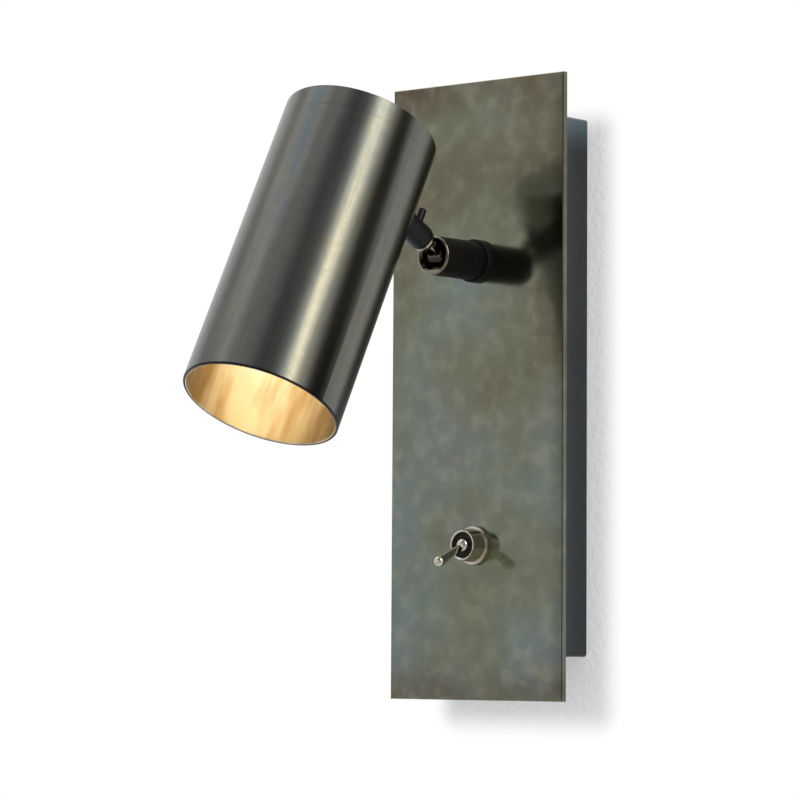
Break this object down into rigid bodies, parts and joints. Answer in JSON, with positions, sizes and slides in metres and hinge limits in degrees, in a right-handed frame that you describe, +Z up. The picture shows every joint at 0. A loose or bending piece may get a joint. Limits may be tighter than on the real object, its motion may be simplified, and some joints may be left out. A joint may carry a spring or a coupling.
{
  "type": "wall reading lamp",
  "caption": "Bedside wall reading lamp: tall flat plate on a shallow back box, swivelling knuckle arm, long tubular shade open at its lower end, and a toggle switch.",
  "frame": {"origin": "middle of the back box and front plate, on the wall face", "axes": "+X to the right along the wall as seen from the room, -Y out of the wall into the room, +Z up"},
  "size_m": [0.1, 0.1979, 0.285],
  "materials": {
    "patina_steel": "burnished dark patina on steel sheet, satin",
    "zinc_steel": "bright zinc plated",
    "black_steel": "black oxide",
    "black_metal": "satin black",
    "nickel": "dark nickel plated, polished",
    "shade_brass": "blackened brass outside, raw brass inside",
    "raw_brass": "plain turned brass",
    "black_plastic": "moulded",
    "white_plastic": "moulded",
    "lamp_plastic": "moulded, glossy",
    "black_rubber": "moulded",
    "white_ceramic": "fired, unglazed",
    "clear_glass": "pressed lens",
    "brown_insulation": "extruded",
    "blue_insulation": "extruded",
    "earth_insulation": "extruded, green and yellow",
    "cable_sheath": "extruded"
  },
  "bodies": {
    "wall_unit": {"front_plate": "patina_steel", "back_box": "patina_steel", "wall_bracket": "zinc_steel", "box_screws": "black_steel", "cable_bush": "black_rubber", "terminal_block": "white_plastic", "terminal_sleeves": "raw_brass", "terminal_screws": "zinc_steel", "block_screw": "zinc_steel", "earth_tag": "raw_brass", "earth_screw": "raw_brass", "arm_nipple": "zinc_steel", "nipple_washer": "zinc_steel", "nipple_earth_tag": "raw_brass", "nipple_nut": "zinc_steel", "arm_collar": "black_metal", "arm_sleeve": "black_metal", "sleeve_grub": "black_steel", "stop_pin": "zinc_steel", "switch_washer": "zinc_steel", "switch_body": "black_plastic", "switch_bushing": "nickel", "dress_nut": "nickel", "switch_seal": "black_rubber", "switch_lugs": "raw_brass", "arm_cable": "cable_sheath", "lead_live": "brown_insulation", "lead_switched": "brown_insulation", "lead_neutral": "blue_insulation", "lead_earth": "earth_insulation"},
    "arm": {"knuckle_cup": "nickel", "knuckle_sleeve": "black_metal", "seam_washer": "black_plastic", "swivel_nut": "zinc_steel", "spring_washer": "zinc_steel", "tilt_pin": "zinc_steel", "tilt_spacers": "nickel", "journal_cable": "cable_sheath"},
    "neck": {"neck_eye": "nickel", "neck_tube": "black_metal"},
    "lock": {"lock_screw": "black_metal"},
    "head": {"shade_tube": "shade_brass", "shade_cap": "shade_brass", "shade_boss": "black_metal", "head_stem": "zinc_steel", "saddle_washer": "zinc_steel", "stem_nut": "zinc_steel", "holder_bracket": "zinc_steel", "lamp_holder": "white_ceramic", "holder_screws": "zinc_steel", "lamp_body": "lamp_plastic", "lamp_lens": "clear_glass", "lamp_pins": "zinc_steel", "head_cable": "cable_sheath", "head_leads": "brown_insulation"},
    "toggle": {"toggle_lever": "nickel"}
  },
  "joints": [
    {"name": "arm_swivel", "type": "hinge", "parent": "wall_unit", "child": "arm", "pos_m": [0, -0.0452, 0.0588], "axis": [0, 1, 0], "range_deg": [-164, 164]},
    {"name": "head_tilt", "type": "hinge", "parent": "arm", "child": "neck", "pos_m": [0, -0.0452, 0.0588], "axis": [-1, 0, 0], "range_deg": [-42, 10]},
    {"name": "head_roll", "type": "hinge", "parent": "neck", "child": "head", "pos_m": [0, -0.0452, 0.0588], "axis": [0, -0.8886, 0.4586], "range_deg": [-90, 90]},
    {"name": "lock_turn", "type": "hinge", "parent": "neck", "child": "lock", "pos_m": [0, -0.06368, 0.06834], "axis": [0, 0.4586, 0.8886], "range_deg": [0, 180]},
    {"name": "toggle_throw", "type": "hinge", "parent": "wall_unit", "child": "toggle", "pos_m": [0, -0.0273, -0.072], "axis": [-1, 0, 0], "range_deg": [0, 48]}
  ]
}
